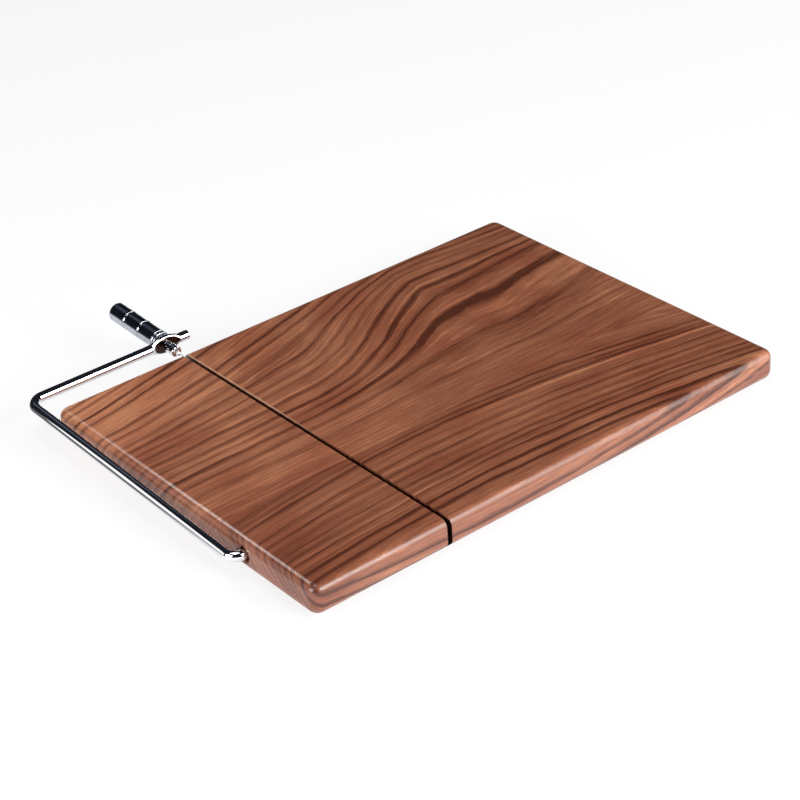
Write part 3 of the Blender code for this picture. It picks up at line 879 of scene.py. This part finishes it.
def eye_section(share):
    """Half thickness and half height of the rod at a share of the eye's half length from its middle."""
    pressed = 1.0 - smooth_step(abs(share), EYE_FLAT_END, EYE_ROUND_START)
    bulge = max(1.0 - share * share, 0.0)
    half_thickness = ROD_RADIUS + (EYE_HALF_THICKNESS - ROD_RADIUS) * pressed
    half_height = ROD_RADIUS + (EYE_HALF_HEIGHT - ROD_RADIUS) * bulge
    return half_thickness, max(half_height, half_thickness)


def rounded_end(centre, heading, outward):
    """Sections of a rod's end with a rounded edge, from its face to its full size."""
    sections = []
    for angle in quarter(0.0, 5):
        radius = ROD_RADIUS - ROD_END_ROUND * (1 - math.sin(angle))
        back = ROD_END_ROUND * (1 - math.cos(angle))
        sections.append(rod_section(centre - outward * back, heading, radius, radius))
    return sections


def arm_solid():
    """The bent rod, from the tip in the board to the stub past the eye, in the arm's frame."""
    inward = Vector((-1.0, 0.0, 0.0))
    outward = Vector((1.0, 0.0, 0.0))
    rings = rounded_end(Vector((PIVOT_TIP_X, 0.0, 0.0)), inward, outward)
    near_middle = Vector((BASE_X + NEAR_BEND_RADIUS, NEAR_BEND_RADIUS, 0.0))
    far_middle = Vector((BASE_X + FAR_BEND_RADIUS, ARM_REACH - FAR_BEND_RADIUS, 0.0))
    bends = bend_stations(near_middle, NEAR_BEND_RADIUS, 1.5 * math.pi)
    bends += bend_stations(far_middle, FAR_BEND_RADIUS, math.pi)
    for centre, heading in bends:
        rings.append(rod_section(centre, heading, ROD_RADIUS, ROD_RADIUS))
    for i in range(EYE_STATIONS + 1):
        share = EYE_REACH * (2.0 * i / EYE_STATIONS - 1.0)
        centre = Vector((WIRE_X + share * EYE_HALF_LENGTH, ARM_REACH, 0.0))
        rings.append(rod_section(centre, outward, *eye_section(share)))
    rings += reversed(rounded_end(Vector((STUB_TIP_X, ARM_REACH, 0.0)), outward, outward))
    bm = bmesh.new()
    skin_rings(bm, rings)
    return bm


def make_arm(chrome):
    """The arm with its eye's hole, chamfered on both faces, and the wire's cross hole in its tip."""
    arm = mesh_object("bent_arm", arm_solid(), chrome)
    face = EYE_HALF_THICKNESS
    ease = EYE_HOLE_EASE
    profile = [
        (ARM_REACH - OVERCUT, 0.0),
        (ARM_REACH - OVERCUT, EYE_HOLE_RADIUS + ease),
        (ARM_REACH - face, EYE_HOLE_RADIUS + ease),
        (ARM_REACH - face + ease, EYE_HOLE_RADIUS),
        (ARM_REACH + face - ease, EYE_HOLE_RADIUS),
        (ARM_REACH + face, EYE_HOLE_RADIUS + ease),
        (ARM_REACH + OVERCUT, EYE_HOLE_RADIUS + ease),
        (ARM_REACH + OVERCUT, 0.0),
    ]
    along = Matrix.Translation((WIRE_X, 0.0, 0.0)) @ Matrix.Rotation(-math.pi / 2, 4, "X")
    cross = [(-OVERCUT, 0.0), (-OVERCUT, WIRE_HOLE_RADIUS), (OVERCUT, WIRE_HOLE_RADIUS), (OVERCUT, 0.0)]
    carve(arm, [(turned(profile), along), (turned(cross, 24), along)])
    arm.data.shade_smooth()
    arm.data.set_sharp_from_angle(angle=math.radians(30.0))
    set_down(arm, ARM_FRAME)
    finish_piece(arm, "arm", "chrome", "cutting_arm")


def groove_profile(place):
    """One turned groove with soft shoulders."""
    half = GROOVE_WIDTH / 2
    shoulder = arc(place - half - GROOVE_LIP, HANDLE_RADIUS - GROOVE_LIP, GROOVE_LIP, 0, 80, 3)
    hollow = []
    for i in range(1, GROOVE_STEPS):
        share = 2.0 * i / GROOVE_STEPS - 1.0
        hollow.append((place + share * half, HANDLE_RADIUS - GROOVE_DEPTH * (1.0 - share * share)))
    return shoulder + hollow + [(2 * place - height, radius) for height, radius in reversed(shoulder)]


def make_handle(nickel):
    """The grooved handle barrel, counterbored for the bolt's body and bored for its thread."""
    profile = [
        (HANDLE_BORE_END, 0.0),
        (HANDLE_BORE_END, HANDLE_BORE_RADIUS),
        (COUNTERBORE_END, HANDLE_BORE_RADIUS),
        (COUNTERBORE_END, EYE_HOLE_RADIUS),
        (HANDLE_START, EYE_HOLE_RADIUS),
    ]
    start_radius = HANDLE_RADIUS - HANDLE_START_ROUND
    profile += arc(HANDLE_START + HANDLE_START_ROUND, start_radius, HANDLE_START_ROUND, -90, 0, 5)
    for place in GROOVE_PLACES:
        profile += groove_profile(place)
    round_centre = HANDLE_END - HANDLE_END_ROUND
    profile += arc(round_centre, HANDLE_RADIUS - HANDLE_END_ROUND, HANDLE_END_ROUND, 0, 90, 10)
    profile.append((HANDLE_END, 0.0))
    handle = set_down(mesh_object("grooved_handle", turned(profile, 96), nickel, 50.0), WIRE_LINE)
    finish_piece(handle, "handle", "chrome", "handle_barrel")


def make_washer(nylon):
    """The washer between the eye and the handle."""
    start = ARM_REACH + EYE_HALF_THICKNESS + WASHER_GAP
    end = HANDLE_START - WASHER_GAP
    profile = [(start, EYE_HOLE_RADIUS)]
    profile += arc(start + SMALL_EDGE, WASHER_RADIUS - SMALL_EDGE, SMALL_EDGE, -90, 0, 3)
    profile += arc(end - SMALL_EDGE, WASHER_RADIUS - SMALL_EDGE, SMALL_EDGE, 0, 90, 3)
    profile.append((end, EYE_HOLE_RADIUS))
    washer = set_down(mesh_object("nylon_washer", turned(profile, closed=True), nylon), WIRE_LINE)
    finish_piece(washer, "arm", "black_nylon", "thrust_washer")


def make_bolt(chrome):
    """The tension bolt: a slotted round body through the eye, and a threaded tail in the handle."""
    outline = arc(BOLT_END + BOLT_EDGE, BOLT_RADIUS - BOLT_EDGE, BOLT_EDGE, -85, 0, 5)
    outline += [(BOLT_SHOULDER, BOLT_RADIUS), (BOLT_SHOULDER, BOLT_THREAD_RADIUS)]
    rings = [ring_at(height, radius, FINE_STEPS) for height, radius in outline]
    rings += threaded_rings(
        BOLT_THREAD_RADIUS, THREAD_DEPTH, THREAD_PITCH, BOLT_SHOULDER + BOLT_EDGE, BOLT_THREAD_END, FINE_STEPS
    )
    rings.append(ring_at(BOLT_THREAD_END, BOLT_THREAD_RADIUS - BOLT_EDGE, FINE_STEPS))
    bm = bmesh.new()
    skin_rings(bm, rings)
    bolt = mesh_object("tension_screw", bm, chrome)
    half = BOLT_SLOT_WIDTH / 2
    slot = box((-half, -OVERCUT, BOLT_END - OVERCUT), (half, OVERCUT, BOLT_END + BOLT_SLOT_DEPTH))
    pin_radius = PIN_RADIUS + FINE_GAP
    pin_hole = [(-OVERCUT, 0.0), (-OVERCUT, pin_radius), (OVERCUT, pin_radius), (OVERCUT, 0.0)]
    carve(bolt, [(slot, Matrix.Identity(4)), (turned(pin_hole, SMALL_STEPS), across_bolt())])
    bolt.data.shade_smooth()
    bolt.data.set_sharp_from_angle(angle=math.radians(35.0))
    set_down(bolt, WIRE_LINE)
    finish_piece(bolt, "wire_line", "chrome", "tension_bolt")


def across_bolt():
    """From a turned piece's axis to the loop pin's, which crosses the bolt along X."""
    return Matrix.Translation((0.0, 0.0, PIN_PLACE)) @ Matrix.Rotation(math.pi / 2, 4, "Y")


def make_pin(steel):
    """The pin across the bolt's slot that holds the wire's loop."""
    half = BOLT_RADIUS - PIN_INSET
    profile = [(-half, 0.0)]
    profile += arc(-half + SMALL_EDGE, PIN_RADIUS - SMALL_EDGE, SMALL_EDGE, -90, 0, 3)
    profile += arc(half - SMALL_EDGE, PIN_RADIUS - SMALL_EDGE, SMALL_EDGE, 0, 90, 3)
    profile.append((half, 0.0))
    pin = mesh_object("loop_cross_pin", turned(profile, SMALL_STEPS), steel)
    set_down(pin, WIRE_LINE @ across_bolt())
    finish_piece(pin, "wire_line", "stainless_steel", "loop_pin")


def wire_route():
    """The wire's centreline along the wire's line: out of the bead, up to the bolt, and round the pin."""
    loop_radius = PIN_RADIUS + WIRE_RADIUS + LOOP_GAP
    route = [Vector((0.0, 0.0, -ROD_RADIUS - WIRE_PAST_ROD)), Vector((0.0, 0.0, FERRULE_PLACE))]
    for i in range(LOOP_STEPS + 1):
        angle = math.radians(-90.0 - LOOP_TURN * i / LOOP_STEPS)
        route.append(Vector((0.0, -loop_radius * math.cos(angle), PIN_PLACE + loop_radius * math.sin(angle))))
    return route


def tube(route, radius, steps):
    """Rings of a round tube along a route in the plane of local Y and Z."""
    rings = []
    for i, spot in enumerate(route):
        before = route[max(i - 1, 0)]
        after = route[min(i + 1, len(route) - 1)]
        heading = (after - before).normalized()
        side = Vector((1.0, 0.0, 0.0))
        up = heading.cross(side)
        rings.append([
            spot + radius * (side * math.cos(math.tau * k / steps) + up * math.sin(math.tau * k / steps))
            for k in range(steps)
        ])
    return rings


def make_wire(steel):
    """The cutting wire, its crimped ball and the bead on its end."""
    bm = bmesh.new()
    skin_rings(bm, tube(wire_route(), WIRE_RADIUS, 16))
    wire = set_down(mesh_object("steel_wire", bm, steel), WIRE_LINE)
    finish_piece(wire, "wire_line", "stainless_steel", "cutting_wire")
    hole = WIRE_RADIUS + FINE_GAP
    open_angle = math.degrees(math.acos(hole / FERRULE_RADIUS))
    ball = arc(FERRULE_PLACE, 0.0, FERRULE_RADIUS, -open_angle, open_angle, 28)
    ball = set_down(mesh_object("wire_ball", turned(ball, 48, closed=True), steel, 60.0), WIRE_LINE)
    finish_piece(ball, "wire_line", "stainless_steel", "wire_ferrule")
    top = -ROD_RADIUS - BEAD_PAST_ROD
    bottom = top - BEAD_LENGTH
    middle = BEAD_RADIUS - BEAD_ROUND
    profile = [(bottom, 0.0)]
    profile += arc(bottom + BEAD_ROUND, middle, BEAD_ROUND, -90, 0, 4)
    profile += arc(top - BEAD_ROUND, middle, BEAD_ROUND, 0, 90, 4)
    profile.append((top, 0.0))
    bead = set_down(mesh_object("wire_stop_bead", turned(profile, 32), steel), WIRE_LINE)
    finish_piece(bead, "wire_line", "stainless_steel", "wire_end_bead")


# ---------------------------------------------------------------- studio

FLOOR_REACH = 15.0
FLOOR_PAINT = (0.88, 0.88, 0.88)
FLOOR_PAINT_IN_MIRRORS = (0.62, 0.63, 0.65)
FLOOR_WHITE = 0.80
FLOOR_WHITE_FAR_OFF = 0.15
FLOOR_GLOW_IN_MIRRORS = 0.36
FLOOR_GLOW_ON_SIDES = 1.25
ROOM_DARK = (0.012, 0.013, 0.018)
ROOM_PALE = (0.95, 0.95, 0.95)
BLUISH = (0.62, 0.76, 1.0)


def make_floor():
    """A plain pale floor under the feet, with a glow of its own that depends on what looks at it.

    The camera sees it near white, so that its shadows stay faint. It lights the board's sides as a bright
    table would. Mirrors see it greyer, with a painted shadow past the arm's far bend.
    """
    made, tree, shader, x, y, _ = new_material("floor_paint")
    shader.inputs["Roughness"].default_value = 0.9
    shader.inputs["Specular IOR Level"].default_value = 0.1
    path = tree.nodes.new("ShaderNodeLightPath")
    seen, mirrored, bounced = (
        Term(tree, path.outputs[kind]) for kind in ("Is Camera Ray", "Is Glossy Ray", "Is Diffuse Ray")
    )
    paint = blend_colours(tree, 1.0 - seen - bounced, FLOOR_PAINT, FLOOR_PAINT_IN_MIRRORS)
    tree.links.new(paint, shader.inputs["Base Color"])
    # painted shadow: mirrors see the floor dark past the arm's far bend
    painted_shadow_past_bend = step(x, -180.0, -200.0) * step(y, -70.0, 60.0)
    distance = (x * x + y * y).square_root()
    white = FLOOR_WHITE + FLOOR_WHITE_FAR_OFF * step(distance, 700.0, 2600.0)
    in_mirrors = FLOOR_GLOW_IN_MIRRORS * mirrored * (1.0 - 0.9 * painted_shadow_past_bend)
    glow = tree.nodes.new("ShaderNodeEmission")
    feed(tree, glow.inputs["Strength"], white * seen + in_mirrors + FLOOR_GLOW_ON_SIDES * bounced)
    dimmed = tree.nodes.new("ShaderNodeMixShader")
    feed(tree, dimmed.inputs[0], white * seen + 0.85 * mirrored * painted_shadow_past_bend)
    tree.links.new(shader.outputs[0], dimmed.inputs[1])
    both = tree.nodes.new("ShaderNodeAddShader")
    tree.links.new(dimmed.outputs[0], both.inputs[0])
    tree.links.new(glow.outputs[0], both.inputs[1])
    tree.links.new(both.outputs[0], tree.nodes["Material Output"].inputs["Surface"])
    bm = bmesh.new()
    bmesh.ops.create_grid(bm, x_segments=1, y_segments=1, size=FLOOR_REACH)
    floor = mesh_object("floor", bm, made)
    floor.location.z = FOOT_BOTTOM


def area_light(name, place, target, size, power, colour=(1.0, 1.0, 1.0), only=()):
    """A soft rectangular light that looks at a target, and can be shaded from all but a few objects."""
    light = bpy.data.lights.new(name, "AREA")
    light.shape = "RECTANGLE"
    light.size, light.size_y = size
    light.energy = power
    light.color = colour
    made = bpy.data.objects.new(name, light)
    bpy.context.scene.collection.objects.link(made)
    made.location = place
    made.rotation_euler = (Vector(target) - Vector(place)).to_track_quat("-Z", "Y").to_euler()
    if only:
        lit = bpy.data.collections.new(f"{name}_lights_only")
        for lit_name in only:
            lit.objects.link(bpy.data.objects[lit_name])
        made.light_linking.receiver_collection = lit
    return made


def make_lights():
    """Windows to the front, near right and left, a soft light overhead, and faint ones far off.

    The far edge light shines on the staves alone, and draws the thin highlight along the board's left edge.
    """
    area_light("front", (0.35, -1.9, 1.05), (0.0, 0.0, 0.0), (1.3, 1.2), 44.0)
    area_light("near_right", (1.15, -1.6, 0.85), (0.0, 0.0, 0.05), (2.2, 1.7), 54.0)
    area_light("left", (-1.6, -0.2, 0.68), (-0.1, 0.0, 0.0), (1.0, 0.9), 24.0)
    area_light("overhead", (-0.45, -0.1, 2.2), (0.0, 0.0, 0.0), (1.0, 1.0), 12.5)
    area_light("far_left", (-0.62, 0.36, 0.17), (-0.16, 0.0, 0.0), (0.36, 0.34), 0.45)
    staves = ("walnut_stave_back", "walnut_stave_front")
    area_light("far_edge", (-0.20, 0.88, 0.95), (-0.16, 0.0, 0.0), (0.50, 0.18), 4.2, only=staves)
    area_light("far_blue", (0.15, 1.6, 1.35), (0.0, 0.1, 0.0), (0.8, 0.45), 0.12, BLUISH)


def make_world():
    """A dark room, which the camera sees as pale as the floor."""
    world = bpy.data.worlds.new("studio")
    world.use_nodes = True
    tree = world.node_tree
    background = tree.nodes["Background"]
    ray = Term(tree, tree.nodes.new("ShaderNodeLightPath").outputs["Is Camera Ray"])
    colour = blend_colours(tree, ray, ROOM_DARK, ROOM_PALE)
    tree.links.new(colour, background.inputs["Color"])
    bpy.context.scene.world = world


def make_camera():
    """The camera, at the place and tilt that it looks at the board from."""
    data = bpy.data.cameras.new("camera")
    data.lens = CAMERA_LENS
    data.sensor_width = 36.0
    data.clip_start = 0.05
    data.clip_end = 50.0
    camera = bpy.data.objects.new("camera", data)
    bpy.context.scene.collection.objects.link(camera)
    look = (CAMERA_TARGET - CAMERA_PLACE).to_track_quat("-Z", "Y")
    camera.rotation_mode = "QUATERNION"
    camera.rotation_quaternion = look @ Quaternion((0.0, 0.0, 1.0), -CAMERA_ROLL)
    camera.location = CAMERA_PLACE
    bpy.context.scene.camera = camera


def build():
    """The whole scene."""
    bpy.context.scene.view_settings.view_transform = "Standard"
    back_wood = make_walnut(
        "walnut_flat_sawn", back_flow, BACK_LINES, (),
        lean=0.8, fineness=0.40, depth=0.80, base=0.40, quiet=0.14,
    )
    front_wood = make_walnut(
        "walnut_straight", front_flow, FRONT_LINES, FRONT_PALE_LINES,
        lean=-1.1, fineness=0.55, depth=0.95, base=0.53, quiet=0.0,
    )
    chrome = make_chrome("bright_chrome")
    steel = make_steel()
    rubber = make_moulded("black_rubber_foot", RUBBER_BLACK, roughness=0.62, grain=2.5)
    nylon = make_moulded("black_nylon_washer", NYLON_BLACK, roughness=0.38, grain=4.0)
    make_board(back_wood, front_wood)
    make_feet(rubber, steel)
    make_arm(make_chrome("bright_chrome_arm", paint_eye_reflection=True))
    make_washer(nylon)
    make_handle(make_nickel())
    make_bolt(chrome)
    make_pin(steel)
    make_wire(steel)
    make_floor()
    make_world()
    make_lights()
    make_camera()


build()
